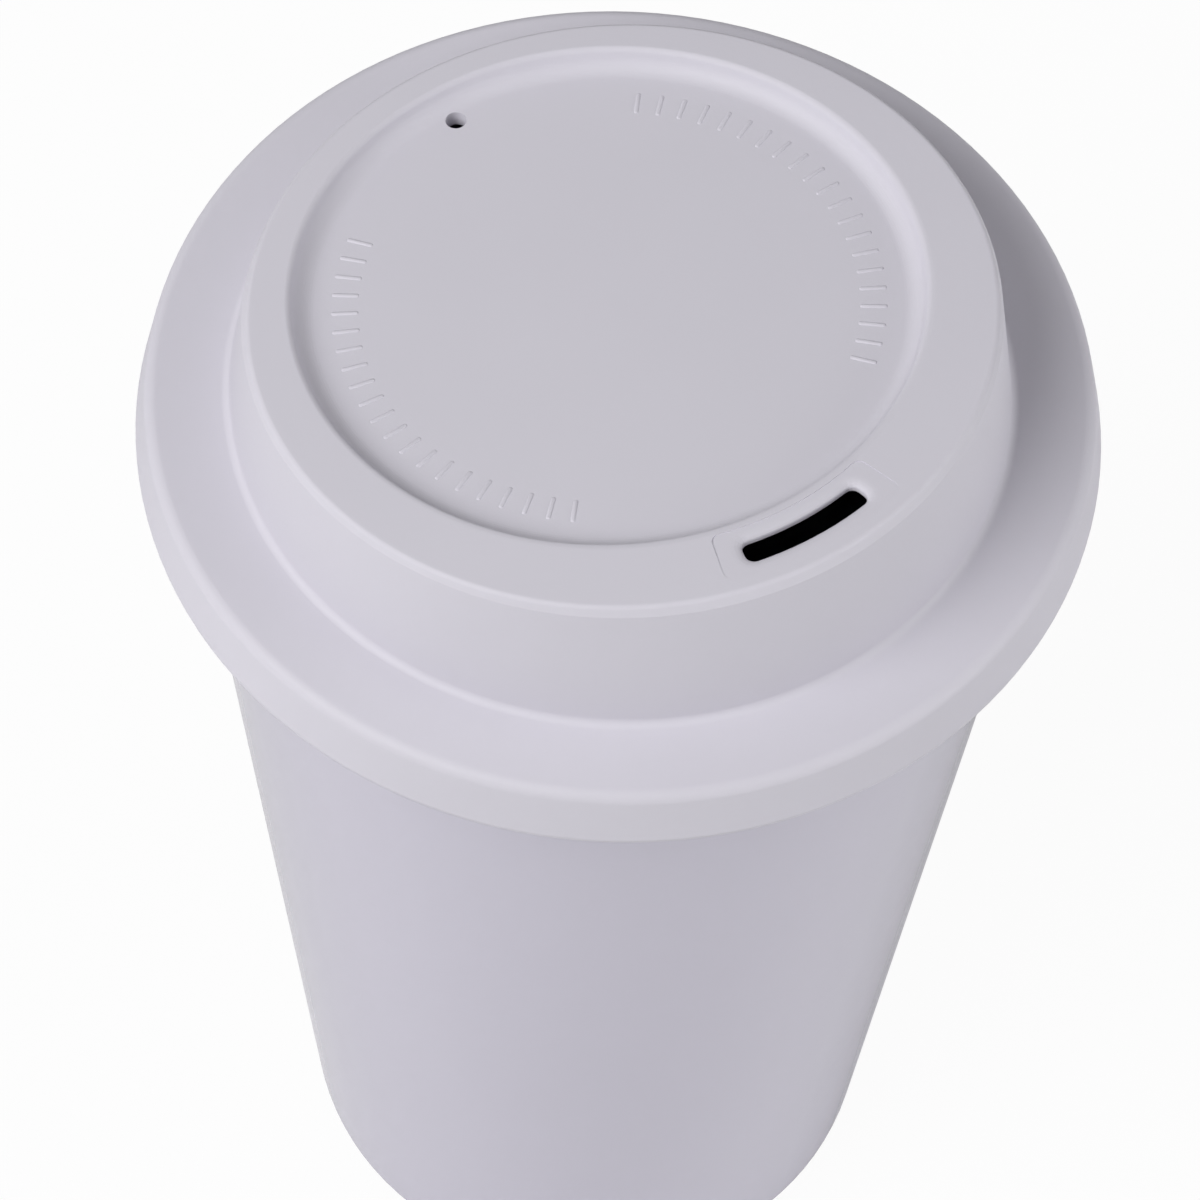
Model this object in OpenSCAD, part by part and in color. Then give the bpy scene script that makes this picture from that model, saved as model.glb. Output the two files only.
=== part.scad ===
// Reusable hot-drink cup: a tapered glazed cup and a soft push-on lid with a sip slot.
// Millimetres, +Z up. The origin is the middle of the foot, on the table. The sip slot is at -Y.

/* [Cup] */
// height of the cup from the table to its rim
cup_h = 130.5; // [110:0.5:150]
// outside diameter at the rim
rim_d = 86.6; // [84:0.2:90]
// outside diameter at the foot, where the side wall would meet the table
foot_d = 61.6; // [56:0.2:66]
// thickness of the side wall, measured level
wall_t = 3.6; // [3.2:0.1:4.2]
// thickness of the floor above the hollow of the foot
floor_t = 4.2; // [3:0.1:6]
// rounding of the two edges of the rim
lip_r = 1.4; // [1:0.1:1.5]
// rounding of the outside heel
heel_r = 3.2; // [1:0.1:5]
// rounding inside, where the wall meets the floor
bowl_r = 9; // [4:0.5:12]
// depth of the hollow inside the foot ring
foot_hollow = 1.8; // [1:0.1:2.5]
// width of the ring that stands on the table, heel included
foot_ring_w = 6; // [5.5:0.1:8]

/* [Lid rim] */
// thickness of the flange that lies on the cup's rim
flange_t = 2.5; // [1.8:0.1:3]
// height of the outer skirt below the top of the flange
skirt_h = 7; // [5:0.1:10]
// thickness of the skirt where it leaves the flange
skirt_t = 2.3; // [2:0.1:3.5]
// how far the outside of the skirt widens towards its lower edge
skirt_flare = 1.3; // [0:0.1:1.6]
// free gap between the skirt and the outside of the cup's rim
skirt_gap = 1; // [0.6:0.1:1.6]
// rounding of the flange's upper outside edge
flange_r = 1.3; // [0.6:0.1:1.5]

/* [Lid plug] */
// how far the plug reaches below the cup's rim
plug_h = 9.5; // [8:0.1:13]
// free gap between the plug and the inside of the cup, level with the rim
plug_gap = 0.9; // [0.7:0.1:1.1]
// thickness of the plug's wall
plug_t = 2; // [1.6:0.1:2.4]
// running gap between the sealing beads and the cup
seal_gap = 0.3; // [0.2:0.05:0.4]
// radius of each sealing bead
bead_r = 0.8; // [0.7:0.05:1]
// how far the upper bead lies below the cup's rim
bead_drop = 3.6; // [3:0.1:4.5]
// distance from one bead to the next
bead_pitch = 3.2; // [2.4:0.1:3.6]

/* [Lid dome] */
// how far the dome's foot stands in from the outside of the plug
dome_inset = 0.4; // [0.2:0.1:1.5]
// height of the middle of the drinking rim above the flange
dome_h = 13.7; // [11:0.1:17]
// slope of the dome's side wall, from upright
dome_draft = 7.7; // [4:0.1:9]
// thickness of the dome's side wall
dome_t = 2.2; // [1.8:0.1:2.6]
// tilt of the drinking rim, high over the sip slot
tilt = 5.65; // [3:0.05:7]
// fillet where the dome meets the flange
dome_foot_r = 0.9; // [0.6:0.1:3]
// rounding of the dome's upper outside edge
edge_r = 0.6; // [0.5:0.1:1.2]
// rise of the drinking rim from its outer edge towards the middle
crown = 0.5; // [0:0.1:0.8]
// thickness of the drinking rim
band_t = 2.3; // [2:0.1:2.8]

/* [Lid panel] */
// width of the drinking rim, half-way between the sip slot and the vent
band_w = 5.7; // [5.4:0.1:7]
// how far the sunk panel lies off centre, away from the sip slot
panel_shift = 3; // [2:0.1:3.4]
// depth of the sunk panel
panel_depth = 2.1; // [1.5:0.1:2.6]
// how far the panel's wall slopes in on its way down
panel_run = 0.8; // [0.8:0.1:2.5]
// thickness of the sunk panel and of its wall
panel_t = 1.8; // [1.4:0.1:2.2]
// rounding of the panel's rim
panel_rim_r = 0.8; // [0.3:0.1:1]
// fillet round the panel's floor
panel_floor_r = 2; // [0.8:0.1:2.4]

/* [Sip slot and vent] */
// distance from the dome's edge in to the middle of the slot
slot_inset = 5; // [4.8:0.1:5.4]
// width of the slot
slot_w = 2.5; // [2.2:0.1:3]
// length of the slot, measured along its middle
slot_len = 13.4; // [10:0.1:16]
// rounding of the slot's corners
slot_corner = 0.9; // [0.5:0.1:1]
// width of the soft dish round the slot's mouth
dish_w = 1.1; // [0.5:0.1:1.2]
// depth of that dish
dish_depth = 0.5; // [0.2:0.05:0.6]
// thickness of the drinking rim at the slot, where it is relieved from below
slot_web = 0.9; // [0.8:0.1:1.4]
// how far that relief reaches beyond the slot
slot_relief = 1.2; // [1:0.1:1.5]
// width of the sunk pad that the slot lies in
pad_w = 5.4; // [5.2:0.1:5.6]
// length of the pad
pad_len = 18.6; // [18:0.1:22]
// depth of the pad
pad_depth = 0.08; // [0.05:0.01:0.2]
// diameter of the vent hole
vent_d = 2.1; // [1.4:0.1:2.4]
// distance from the edge of the panel's floor to the middle of the vent hole
vent_inset = 2; // [1.4:0.1:4]

/* [Output] */
// piece to show

/* [Hidden] */
$fn = 96;
arc_steps = 10;
slot_steps = 10;
corner_steps = 4;
lip_steps = 5;
overcut = 1;
high = 60;

cup_taper = (rim_d - foot_d) / 2 / cup_h;
floor_z = foot_hollow + floor_t;
foot_inner_r = foot_d / 2 - foot_ring_w;
foot_edge_r = 0.8;
foot_hollow_slope = 1;
foot_hollow_r = 1;

flange_z = cup_h + flange_t;
skirt_inner_r = rim_d / 2 + skirt_gap;
skirt_outer_r = skirt_inner_r + skirt_t;
skirt_z = flange_z - skirt_h;
skirt_edge_r = 0.9;
groove_r = 0.5;
plug_outer_r = rim_d / 2 - wall_t - plug_gap;
plug_z = cup_h - plug_h;
plug_taper = plug_h * cup_taper;
plug_edge_r = 0.6;
bead_zs = [cup_h - bead_drop, cup_h - bead_drop - bead_pitch];

dome_slope = tan(dome_draft);
dome_r = plug_outer_r - dome_inset;
rim_z = flange_z + dome_h;
dome_rim_r = dome_r - dome_slope * dome_h;
dome_top = high / 2;
edge_inset = 0.25;
edge_slope = 0.4;
edge_reach = 4;
edge_shift = dome_rim_r * dome_slope * tan(tilt);

panel_r = dome_rim_r - band_w;
floor_edge_r = panel_r - panel_run;
panel_slope = panel_run / panel_depth;
under_h = panel_depth + panel_t;
under_r = panel_r + panel_t - under_h * panel_slope;
panel_lead = 0.12;
lead_reach = 12;
slot_r = dome_rim_r - slot_inset;
vent_r = floor_edge_r + panel_shift - vent_inset;
pad_z = crown * (1 - slot_r / dome_rim_r) - pad_depth;
dish_lead = 0.15;

// a section is a list of corners [r, z, rounding]; outline() turns it into a smooth path
function at(c, i) = let (p = c[(i + len(c)) % len(c)]) [p[0], p[1]];
function unit(v) = v / norm(v);
function turn(a) = a > 180 ? a - 360 : a < -180 ? a + 360 : a;
function arc(m, r, a, sweep, steps = arc_steps) =
  [for (i = [0:steps]) m + r * [cos(a + sweep * i / steps), sin(a + sweep * i / steps)]];
function corner(a, b, c, r) =
  r <= 0 ? [b] :
  let (
    u = unit(a - b),
    v = unit(c - b),
    half = acos(u * v) / 2,
    m = b + unit(u + v) * r / sin(half),
    p = b + u * r / tan(half) - m,
    q = b + v * r / tan(half) - m,
    start = atan2(p[1], p[0])
  )
  arc(m, r, start, turn(atan2(q[1], q[0]) - start));
function outline(c) = [for (i = [0:len(c) - 1]) each corner(at(c, i - 1), at(c, i), at(c, i + 1), c[i][2])];

// outside radius of the cup at a height, and the inside radius above its bowl
function cup_r(z) = foot_d / 2 + cup_taper * z;
function bore_r(z) = cup_r(z) - wall_t;

module turned(c) {
  rotate_extrude() polygon(outline(c));
}

// the plane of the drinking rim
module on_rim() {
  translate([0, 0, rim_z]) rotate([-tilt, 0, 0]) children();
}

// outline of a slot that follows an arc about the axis, centred on +X, with rounded corners
function slot_path(r, w, len, corner_r) =
  let (
    half = len / 2 / r * 180 / PI,
    inner = r - w / 2 + corner_r,
    outer = r + w / 2 - corner_r,
    in_end = half - asin(corner_r / inner),
    out_end = half - asin(corner_r / outer),
    in_turn = 90 + in_end - half,
    out_turn = 90 + half - out_end
  )
  concat(
    arc([0, 0], outer + corner_r, -out_end, 2 * out_end, slot_steps),
    arc(outer * [cos(out_end), sin(out_end)], corner_r, out_end, out_turn, corner_steps),
    arc(inner * [cos(in_end), sin(in_end)], corner_r, 90 + half, in_turn, corner_steps),
    arc([0, 0], inner - corner_r, in_end, -2 * in_end, slot_steps),
    arc(inner * [cos(in_end), -sin(in_end)], corner_r, 180 - in_end, in_turn, corner_steps),
    arc(outer * [cos(out_end), -sin(out_end)], corner_r, 270 - half, out_turn, corner_steps)
  );

// a slot with upright sides, towards -Y
module arc_slot(w, len, corner_r, h) {
  rotate([0, 0, -90]) linear_extrude(height = h) polygon(slot_path(slot_r, w, len, corner_r));
}

// a slot whose outline grows from level to level, towards -Y; a level is [z, growth]
module flared_slot(levels) {
  rings = [for (v = levels)
    [for (p = slot_path(slot_r, slot_w + 2 * v[1], slot_len + 2 * v[1], slot_corner + v[1])) [p[0], p[1], v[0]]]];
  n = len(rings[0]);
  top = len(rings) - 1;
  rotate([0, 0, -90])
    polyhedron(
      points = [for (ring = rings) each ring],
      faces = concat(
        [[for (i = [0:n - 1]) i]],
        [[for (i = [n - 1:-1:0]) top * n + i]],
        [for (k = [0:top - 1]) for (i = [0:n - 1]) let (j = (i + 1) % n)
          each [[k * n + i, k * n + n + i, k * n + n + j], [k * n + i, k * n + n + j, k * n + j]]]
      )
    );
}

// glazed cup: tapered wall, rounded rim, bowl inside, foot ring below
module cup() {
  color([0.86, 0.86, 0.89])
    turned([
      [foot_d / 2, 0, heel_r],
      [rim_d / 2, cup_h, lip_r],
      [bore_r(cup_h), cup_h, lip_r],
      [bore_r(floor_z), floor_z, bowl_r],
      [0, floor_z, 0],
      [0, foot_hollow, 0],
      [foot_inner_r - foot_hollow_slope * foot_hollow, foot_hollow, foot_hollow_r],
      [foot_inner_r, 0, foot_edge_r]
    ]);
}

// flange, skirt and plug, with the dome as a plain frustum that is cut to its rim later
module lid_blank() {
  turned([
    [skirt_outer_r + skirt_flare, skirt_z, skirt_edge_r],
    [skirt_outer_r, flange_z, flange_r],
    [dome_r, flange_z, dome_foot_r],
    [dome_r - dome_slope * dome_top, flange_z + dome_top, 0],
    [0, flange_z + dome_top, 0],
    [0, plug_z, 0],
    [plug_outer_r - plug_taper, plug_z, plug_edge_r],
    [plug_outer_r, cup_h, groove_r],
    [skirt_inner_r, cup_h, groove_r],
    [skirt_inner_r, skirt_z, skirt_edge_r]
  ]);
  for (z = bead_zs)
    rotate_extrude() translate([bore_r(z) - seal_gap - bead_r, z]) circle(r = bead_r);
}

// everything above the drinking rim and outside its rounded edge
module above_rim() {
  on_rim() translate([0, edge_shift, 0])
    turned([
      [0, crown, 0],
      [dome_rim_r - edge_inset, 0, edge_r],
      [dome_rim_r - edge_inset + edge_slope * edge_reach, -edge_reach, 0],
      [high, -edge_reach, 0],
      [high, high, 0],
      [0, high, 0]
    ]);
}

// the sunk panel, off centre in the drinking rim
module panel_recess() {
  on_rim() translate([0, panel_shift, 0])
    turned([
      [0, -panel_depth, 0],
      [floor_edge_r, -panel_depth, panel_floor_r],
      [panel_r, 0, panel_rim_r],
      [panel_r + lead_reach, panel_lead * lead_reach, 0],
      [panel_r + lead_reach, dome_top, 0],
      [0, dome_top, 0]
    ]);
}

// the hollow under the dome, which leaves the rim, the panel and its wall standing
module lid_hollow() {
  plug_inner_r = plug_outer_r - plug_taper - plug_t;
  difference() {
    turned([
      [0, plug_z - overcut, 0],
      [plug_inner_r, plug_z - overcut, 0],
      [dome_r - dome_t, flange_z, 0],
      [dome_r - dome_t - dome_slope * dome_top, flange_z + dome_top, 0],
      [0, flange_z + dome_top, 0]
    ]);
    on_rim() translate([0, 0, -band_t]) cylinder(r = high, h = high);
    on_rim() translate([0, panel_shift, -under_h])
      cylinder(r1 = under_r, r2 = under_r + under_h * panel_slope, h = under_h);
  }
}

// sip slot: its pad, its dished mouth, and the relief that thins the rim from below
module sip_slot() {
  relief_top = pad_z - slot_web;
  on_rim() {
    translate([0, 0, pad_z]) arc_slot(pad_w, pad_len, slot_corner, dome_top);
    translate([0, 0, relief_top - high / 4])
      arc_slot(slot_w + 2 * slot_relief, slot_len + 2 * slot_relief, slot_corner + slot_relief, high / 4);
    translate([0, 0, pad_z])
      flared_slot(concat(
        [[-slot_web - overcut, 0]],
        [for (i = [0:lip_steps]) let (a = 90 - 90 * i / lip_steps)
          [-dish_depth * (1 - cos(a)), dish_w * (1 - sin(a))]],
        [[dish_lead / 4, dish_w + dish_lead], [overcut, dish_w + dish_lead]]
      ));
  }
}

module vent_hole() {
  on_rim() translate([0, vent_r, -under_h - overcut])
    cylinder(d = vent_d, h = panel_t + 2 * overcut);
}

// soft lid in one moulding
module lid() {
  color([0.9, 0.89, 0.91])
    difference() {
      lid_blank();
      above_rim();
      panel_recess();
      lid_hollow();
      sip_slot();
      vent_hole();
    }
}

cup();
lid();
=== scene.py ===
import math

import bpy
from mathutils import Matrix, Vector


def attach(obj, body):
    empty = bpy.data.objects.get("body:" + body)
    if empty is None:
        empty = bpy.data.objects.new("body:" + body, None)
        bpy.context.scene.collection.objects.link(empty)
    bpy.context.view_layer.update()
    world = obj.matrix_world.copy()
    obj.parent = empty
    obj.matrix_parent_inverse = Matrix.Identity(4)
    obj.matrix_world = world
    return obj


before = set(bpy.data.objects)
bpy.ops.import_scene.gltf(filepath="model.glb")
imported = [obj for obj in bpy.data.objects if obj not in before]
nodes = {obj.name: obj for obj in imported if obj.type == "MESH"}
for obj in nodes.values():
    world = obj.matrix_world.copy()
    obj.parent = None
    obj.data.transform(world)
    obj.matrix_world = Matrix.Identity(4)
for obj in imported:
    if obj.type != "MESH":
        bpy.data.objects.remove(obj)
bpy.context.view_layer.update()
print("frame loaded:", sorted(nodes))

mm = 0.001
white = (1, 1, 1, 1)


def deselectAll():
    if bpy.context.object and bpy.context.object.mode != "OBJECT":
        bpy.ops.object.mode_set(mode="OBJECT")
    bpy.ops.object.select_all(action="DESELECT")


# shader groups
noiseLook = {
    "mottleDetail": 2.0,
    "mottleRoughness": 0.55,
    "fineDetail": 1.0,
    "coarseDetail": 0.0,
    "usualSpan": (0.3, 0.7),    # where most of a noise's values lie
}


def newGroup(name, inputs, outputs):
    group = bpy.data.node_groups.new(name, "ShaderNodeTree")
    for label, kind, value in inputs:
        socket = group.interface.new_socket(name=label, in_out="INPUT", socket_type=kind)
        socket.default_value = value
    for label, kind in outputs:
        group.interface.new_socket(name=label, in_out="OUTPUT", socket_type=kind)
    return group, group.nodes.new("NodeGroupInput"), group.nodes.new("NodeGroupOutput")


def mathNode(tree, operation, first, second):
    node = tree.nodes.new("ShaderNodeMath")
    node.operation = operation
    for index, value in enumerate((first, second)):
        if isinstance(value, (int, float)):
            node.inputs[index].default_value = value
        else:
            tree.links.new(value, node.inputs[index])
    return node.outputs[0]


def rangeNode(tree, value, source, target):
    node = tree.nodes.new("ShaderNodeMapRange")
    for label, edge in zip(("From Min", "From Max", "To Min", "To Max"), (*source, *target)):
        node.inputs[label].default_value = edge
    tree.links.new(value, node.inputs["Value"])
    return node.outputs["Result"]


def mixColor(tree, factor, first, second):
    # a Mix node shows its colours under the same names as its numbers, so they go by place
    factorIn, firstIn, secondIn, colorOut = 0, 6, 7, 2
    node = tree.nodes.new("ShaderNodeMix")
    node.data_type = "RGBA"
    for place, value in ((factorIn, factor), (firstIn, first), (secondIn, second)):
        if hasattr(value, "is_output"):
            tree.links.new(value, node.inputs[place])
        else:
            node.inputs[place].default_value = value
    return node.outputs[colorOut]


def makeMottle():
    # slow, faint change of tone over a moulded or glazed surface
    group, entry, out = newGroup(
        "mottle",
        [("Color", "NodeSocketColor", (0.6, 0.6, 0.6, 1)), ("Patch Scale", "NodeSocketFloat", 30.0),
         ("Amount", "NodeSocketFloat", 0.03)],
        [("Color", "NodeSocketColor"), ("Mask", "NodeSocketFloat")])
    coords = group.nodes.new("ShaderNodeTexCoord")
    noise = group.nodes.new("ShaderNodeTexNoise")
    noise.inputs["Detail"].default_value = noiseLook["mottleDetail"]
    noise.inputs["Roughness"].default_value = noiseLook["mottleRoughness"]
    group.links.new(coords.outputs["Object"], noise.inputs["Vector"])
    group.links.new(entry.outputs["Patch Scale"], noise.inputs["Scale"])
    centred = mathNode(group, "SUBTRACT", noise.outputs["Fac"], 0.5)
    swing = mathNode(group, "MULTIPLY", centred, entry.outputs["Amount"])
    gain = mathNode(group, "ADD", swing, 1.0)
    scaled = group.nodes.new("ShaderNodeVectorMath")
    scaled.operation = "SCALE"
    group.links.new(entry.outputs["Color"], scaled.inputs[0])
    group.links.new(gain, scaled.inputs["Scale"])
    group.links.new(scaled.outputs["Vector"], out.inputs["Color"])
    group.links.new(noise.outputs["Fac"], out.inputs["Mask"])
    return group


def makeGrain():
    # fine bead-blasted skin: a height for the Bump node and a mask for roughness
    group, entry, out = newGroup(
        "grain",
        [("Grain Scale", "NodeSocketFloat", 2500.0), ("Coarse Scale", "NodeSocketFloat", 300.0),
         ("Coarse Share", "NodeSocketFloat", 0.3)],
        [("Height", "NodeSocketFloat"), ("Mask", "NodeSocketFloat")])
    coords = group.nodes.new("ShaderNodeTexCoord")
    fine = group.nodes.new("ShaderNodeTexNoise")
    fine.inputs["Detail"].default_value = noiseLook["fineDetail"]
    coarse = group.nodes.new("ShaderNodeTexNoise")
    coarse.inputs["Detail"].default_value = noiseLook["coarseDetail"]
    for node, label in ((fine, "Grain Scale"), (coarse, "Coarse Scale")):
        group.links.new(coords.outputs["Object"], node.inputs["Vector"])
        group.links.new(entry.outputs[label], node.inputs["Scale"])
    share = mathNode(group, "MULTIPLY", coarse.outputs["Fac"], entry.outputs["Coarse Share"])
    height = mathNode(group, "ADD", fine.outputs["Fac"], share)
    group.links.new(height, out.inputs["Height"])
    group.links.new(fine.outputs["Fac"], out.inputs["Mask"])
    return group


def makeSpecks():
    # sparse tiny dots: a few cells of a Voronoi pattern hold one each
    group, entry, out = newGroup(
        "specks",
        [("Cell Scale", "NodeSocketFloat", 120.0), ("Dot Size", "NodeSocketFloat", 0.05),
         ("Share", "NodeSocketFloat", 0.1)],
        [("Mask", "NodeSocketFloat")])
    coords = group.nodes.new("ShaderNodeTexCoord")
    cells = group.nodes.new("ShaderNodeTexVoronoi")
    group.links.new(coords.outputs["Object"], cells.inputs["Vector"])
    group.links.new(entry.outputs["Cell Scale"], cells.inputs["Scale"])
    near = mathNode(group, "LESS_THAN", cells.outputs["Distance"], entry.outputs["Dot Size"])
    split = group.nodes.new("ShaderNodeSeparateColor")
    group.links.new(cells.outputs["Color"], split.inputs["Color"])
    chosen = mathNode(group, "LESS_THAN", split.outputs[0], entry.outputs["Share"])
    group.links.new(mathNode(group, "MULTIPLY", near, chosen), out.inputs["Mask"])
    return group


mottleGroup = makeMottle()
grainGroup = makeGrain()
specksGroup = makeSpecks()


def placeGroup(tree, group, **values):
    node = tree.nodes.new("ShaderNodeGroup")
    node.node_tree = group
    for label, value in values.items():
        node.inputs[label.replace("_", " ")].default_value = value
    return node


def newMaterial(name):
    material = bpy.data.materials.new(name)
    material.use_nodes = True
    return material, material.node_tree, material.node_tree.nodes["Principled BSDF"]


def addBump(tree, shader, height, strength, distance):
    bump = tree.nodes.new("ShaderNodeBump")
    bump.inputs["Strength"].default_value = strength
    bump.inputs["Distance"].default_value = distance
    tree.links.new(height, bump.inputs["Height"])
    tree.links.new(bump.outputs["Normal"], shader.inputs["Normal"])


# lid material
siliconeLook = {
    "color": (0.640, 0.622, 0.684, 1),
    "speckColor": (0.20, 0.18, 0.18, 1),
    "roughness": (0.50, 0.60),
    "specular": 0.35,
    "patchScale": 38.0,
    "patchAmount": 0.05,
    "speckScale": 95.0,
    "speckSize": 0.022,
    "speckShare": 0.10,
    "grainScale": 3800.0,
    "coarseScale": 420.0,
    "coarseShare": 0.5,
    "grainStrength": 0.25,
    "grainHeight": 0.02 * mm,
}


def makeSilicone():
    material, tree, shader = newMaterial("satinSilicone")
    look = siliconeLook
    mottle = placeGroup(tree, mottleGroup, Color=look["color"], Patch_Scale=look["patchScale"],
                        Amount=look["patchAmount"])
    specks = placeGroup(tree, specksGroup, Cell_Scale=look["speckScale"], Dot_Size=look["speckSize"],
                        Share=look["speckShare"])
    grain = placeGroup(tree, grainGroup, Grain_Scale=look["grainScale"], Coarse_Scale=look["coarseScale"],
                       Coarse_Share=look["coarseShare"])
    color = mixColor(tree, specks.outputs["Mask"], mottle.outputs["Color"], look["speckColor"])
    tree.links.new(color, shader.inputs["Base Color"])
    rough = rangeNode(tree, grain.outputs["Mask"], noiseLook["usualSpan"], look["roughness"])
    tree.links.new(rough, shader.inputs["Roughness"])
    addBump(tree, shader, grain.outputs["Height"], look["grainStrength"], look["grainHeight"])
    shader.inputs["Specular IOR Level"].default_value = look["specular"]
    return material


# cup material
glazeLook = {
    "color": (0.597, 0.573, 0.670, 1),
    "bareColor": (0.56, 0.53, 0.49, 1),
    "roughness": (0.07, 0.12),
    "bareRoughness": 0.75,
    "bareHeight": 0.45 * mm,    # the ground foot ring, left without glaze
    "bareFade": 0.15 * mm,
    "patchScale": 22.0,
    "patchAmount": 0.03,
    "waveScale": 260.0,
    "slowScale": 55.0,
    "slowShare": 1.6,
    "waveStrength": 0.12,
    "waveHeight": 0.06 * mm,
    "ior": 1.5,
}


def makeGlaze():
    material, tree, shader = newMaterial("whiteGlaze")
    look = glazeLook
    mottle = placeGroup(tree, mottleGroup, Color=look["color"], Patch_Scale=look["patchScale"],
                        Amount=look["patchAmount"])
    waves = placeGroup(tree, grainGroup, Grain_Scale=look["waveScale"], Coarse_Scale=look["slowScale"],
                       Coarse_Share=look["slowShare"])
    coords = tree.nodes.new("ShaderNodeTexCoord")
    split = tree.nodes.new("ShaderNodeSeparateXYZ")
    tree.links.new(coords.outputs["Object"], split.inputs["Vector"])
    bareTop = look["bareHeight"]
    bare = rangeNode(tree, split.outputs["Z"], (bareTop, bareTop + look["bareFade"]), (1.0, 0.0))
    color = mixColor(tree, bare, mottle.outputs["Color"], look["bareColor"])
    tree.links.new(color, shader.inputs["Base Color"])
    gloss = rangeNode(tree, mottle.outputs["Mask"], noiseLook["usualSpan"], look["roughness"])
    rough = mathNode(tree, "MULTIPLY", bare, look["bareRoughness"])
    tree.links.new(mathNode(tree, "MAXIMUM", gloss, rough), shader.inputs["Roughness"])
    addBump(tree, shader, waves.outputs["Height"], look["waveStrength"], look["waveHeight"])
    shader.inputs["IOR"].default_value = look["ior"]
    return material


silicone = makeSilicone()
glaze = makeGlaze()
for name, material in (("cup", glaze), ("lid", silicone)):
    for place in nodes[name].material_slots:
        place.material = material
print("materials placed")


# raised dashes on the panel
dashes = {
    "count": 21,            # in each of the two rows
    "radius": 25.6 * mm,
    "startAngle": 40.0,     # from the slot's direction, to either side
    "endAngle": 141.0,
    "length": 2.75 * mm,
    "width": 0.56 * mm,
    "height": 0.11 * mm,
    "sink": 0.42 * mm,
    "rounding": 0.25 * mm,
    "roundingSteps": 4,
    "smoothAngle": 40.0,
}
# the panel's plane, as the source of the part has it
panel = {
    "tilt": math.radians(5.65),
    "rimHeight": 146.7 * mm,
    "depth": 2.1 * mm,
    "shift": 3.0 * mm,
}
panelPlace = (Matrix.Translation((0, 0, panel["rimHeight"])) @ Matrix.Rotation(-panel["tilt"], 4, "X")
              @ Matrix.Translation((0, panel["shift"], -panel["depth"])))


def makeDash():
    deselectAll()
    bpy.ops.mesh.primitive_cube_add(size=1, location=(0, 0, 0))
    dash = bpy.context.object
    dash.scale = (dashes["width"], dashes["length"], dashes["height"] + dashes["sink"])
    bpy.ops.object.transform_apply(location=False, rotation=False, scale=True)
    bpy.ops.object.mode_set(mode="EDIT")
    bpy.ops.mesh.select_all(action="SELECT")
    bpy.ops.mesh.bevel(offset=dashes["rounding"], segments=dashes["roundingSteps"], affect="EDGES")
    bpy.ops.object.mode_set(mode="OBJECT")
    return dash


def makeDashRows():
    dash = makeDash()
    copies = []
    for side in (-1, 1):
        for index in range(dashes["count"]):
            share = index / (dashes["count"] - 1)
            angle = dashes["startAngle"] + share * (dashes["endAngle"] - dashes["startAngle"])
            turn = Matrix.Rotation(math.radians(side * angle), 4, "Z")
            lift = (dashes["height"] - dashes["sink"]) / 2
            place = panelPlace @ turn @ Matrix.Translation((0, -dashes["radius"], lift))
            copy = dash.copy()
            copy.data = dash.data.copy()
            copy.data.transform(place)
            bpy.context.collection.objects.link(copy)
            copies.append(copy)
    bpy.data.objects.remove(dash)
    deselectAll()
    for copy in copies:
        copy.select_set(True)
    bpy.context.view_layer.objects.active = copies[0]
    bpy.ops.object.join()
    rows = bpy.context.object
    rows.name = "panelDashes"
    bpy.ops.object.shade_smooth_by_angle(angle=math.radians(dashes["smoothAngle"]))
    rows.data.materials.clear()
    rows.data.materials.append(silicone)
    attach(rows, "lid")


makeDashRows()
print("panel dashes modelled")


# floor, lights, camera
studio = {
    "floorSize": 6.0,
    "floorCorners": 96,
    "floorDrop": 0.05 * mm,
    "floorColor": (0.75, 0.75, 0.75, 1),
    "floorRoughness": 0.9,
    "floorWhite": 0.95,
    "mirroredWhite": 0.10,
    "worldFill": 0.14,
    "lampAim": (0, 0, 0.1),
    "lampDistance": 1.1,
    "lampSize": 0.9,
}


def makeFloor():
    deselectAll()
    bpy.ops.mesh.primitive_circle_add(
        vertices=studio["floorCorners"], radius=studio["floorSize"] / 2, fill_type="NGON",
        location=(0, 0, -studio["floorDrop"]))
    floor = bpy.context.object
    floor.name = "floor"
    material, tree, shader = newMaterial("paleFloor")
    shader.inputs["Base Color"].default_value = studio["floorColor"]
    shader.inputs["Roughness"].default_value = studio["floorRoughness"]
    glow = tree.nodes.new("ShaderNodeEmission")
    mix = tree.nodes.new("ShaderNodeMixShader")
    path = tree.nodes.new("ShaderNodeLightPath")
    direct = mathNode(tree, "MAXIMUM", path.outputs["Is Camera Ray"], path.outputs["Is Transmission Ray"])
    direct = mathNode(tree, "MULTIPLY", direct, studio["floorWhite"])
    mirrored = mathNode(tree, "MULTIPLY", path.outputs["Is Glossy Ray"], studio["mirroredWhite"])
    tree.links.new(mathNode(tree, "MAXIMUM", direct, mirrored), mix.inputs["Fac"])
    tree.links.new(shader.outputs["BSDF"], mix.inputs[1])
    tree.links.new(glow.outputs["Emission"], mix.inputs[2])
    tree.links.new(mix.outputs["Shader"], tree.nodes["Material Output"].inputs["Surface"])
    floor.data.materials.append(material)


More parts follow.
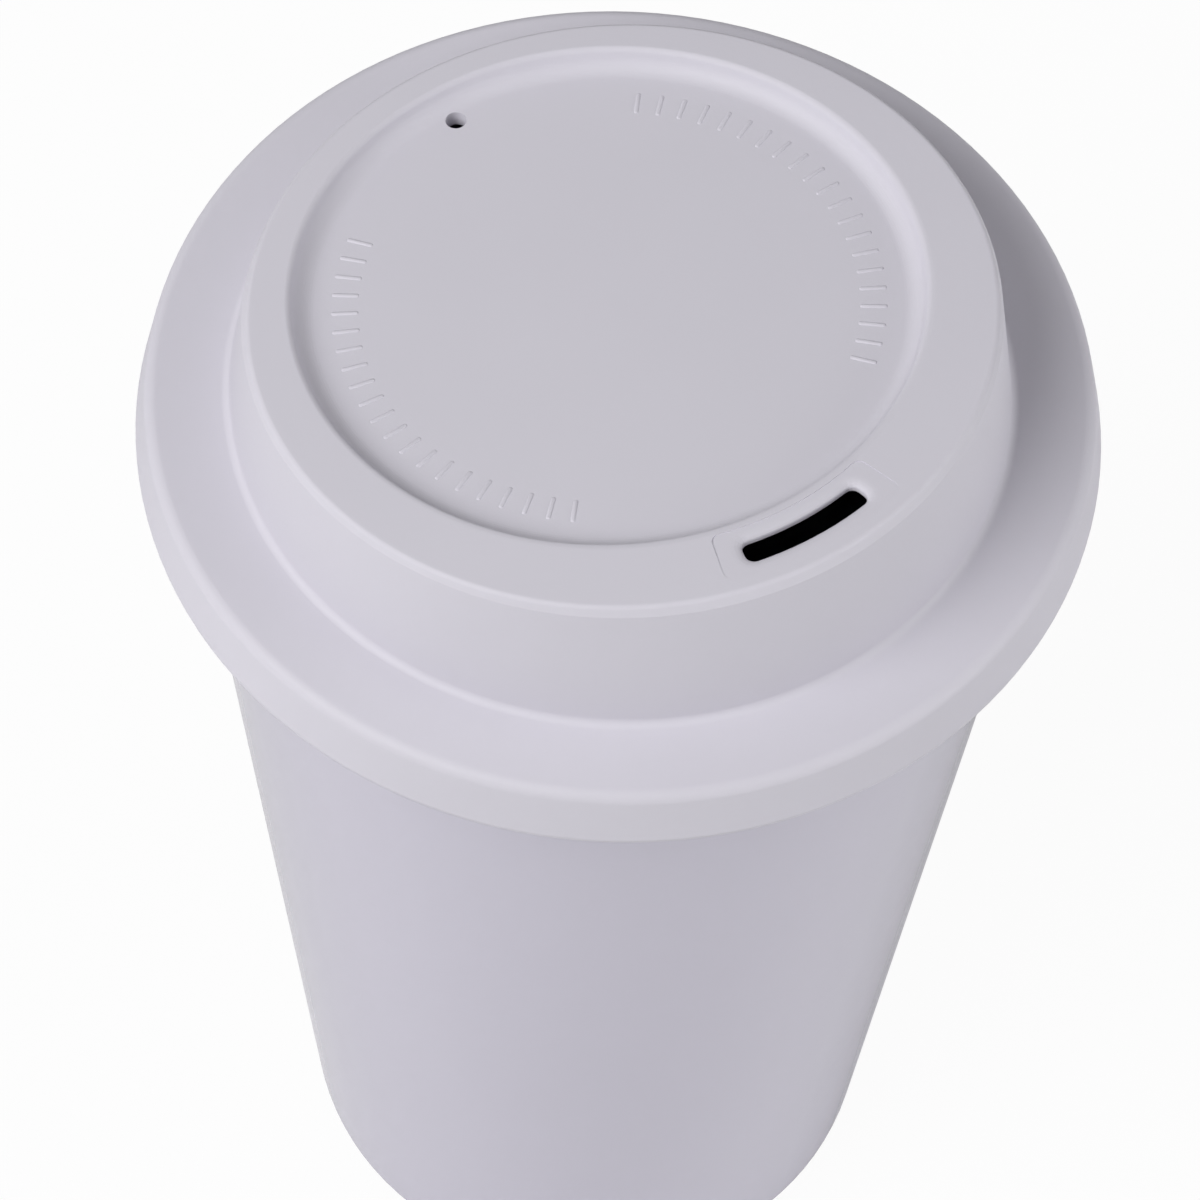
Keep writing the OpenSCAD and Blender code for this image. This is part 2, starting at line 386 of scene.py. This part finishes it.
def makeWorld():
    world = bpy.data.worlds.new("studio")
    bpy.context.scene.world = world
    world.use_nodes = True
    tree = world.node_tree
    fill = tree.nodes["Background"]
    fill.inputs["Color"].default_value = white
    fill.inputs["Strength"].default_value = studio["worldFill"]
    backdrop = tree.nodes.new("ShaderNodeBackground")
    backdrop.inputs["Color"].default_value = white
    mix = tree.nodes.new("ShaderNodeMixShader")
    path = tree.nodes.new("ShaderNodeLightPath")
    seen = mathNode(tree, "MAXIMUM", path.outputs["Is Camera Ray"], path.outputs["Is Transmission Ray"])
    tree.links.new(seen, mix.inputs["Fac"])
    tree.links.new(fill.outputs["Background"], mix.inputs[1])
    tree.links.new(backdrop.outputs["Background"], mix.inputs[2])
    tree.links.new(mix.outputs["Shader"], tree.nodes["World Output"].inputs["Surface"])


# heading is the side a lamp stands on as the camera sees it: 0 behind the camera, 90 at its right
lamps = {
    "keyLamp": {"heading": -50, "elevation": 45, "power": 10.9},
    "sideLamp": {"heading": 80, "elevation": 8, "power": 6.6},
    "rimLamp": {"heading": -130, "elevation": 28, "power": 1.6},
    "topLamp": {"heading": 90, "elevation": 45, "power": 1.2},
}
photoView = {
    "azimuth": -35.3,
    "position": (-205.6 * mm, -290.4 * mm, 662.2 * mm),
    "pan": -0.16,
    "down": 57.96,
    "roll": 2.95,
    "lens": 195.0,
    "sensorWidth": 36.0,
    "farthest": 20.0,
}


def makeLamp(name, look):
    light = bpy.data.lights.new(name, "AREA")
    light.shape = "DISK"
    light.size = studio["lampSize"]
    light.energy = look["power"]
    lamp = bpy.data.objects.new(name, light)
    bpy.context.collection.objects.link(lamp)
    around = math.radians(photoView["azimuth"] + look["heading"])
    up = math.radians(look["elevation"])
    away = Vector((math.sin(around) * math.cos(up), -math.cos(around) * math.cos(up), math.sin(up)))
    lamp.location = Vector(studio["lampAim"]) + away * studio["lampDistance"]
    lamp.rotation_euler = away.to_track_quat("Z", "Y").to_euler()


def makeCamera():
    data = bpy.data.cameras.new("camera")
    data.sensor_width = photoView["sensorWidth"]
    data.lens = photoView["lens"]
    data.clip_end = photoView["farthest"]
    camera = bpy.data.objects.new("camera", data)
    bpy.context.collection.objects.link(camera)
    camera.matrix_world = (
        Matrix.Translation(photoView["position"])
        @ Matrix.Rotation(math.radians(photoView["azimuth"] - photoView["pan"]), 4, "Z")
        @ Matrix.Rotation(math.radians(90 - photoView["down"]), 4, "X")
        @ Matrix.Rotation(math.radians(photoView["roll"]), 4, "Z"))
    bpy.context.scene.camera = camera


makeFloor()
makeWorld()
for name, look in lamps.items():
    makeLamp(name, look)
makeCamera()
bpy.context.scene.view_settings.view_transform = "Standard"
print("studio set")
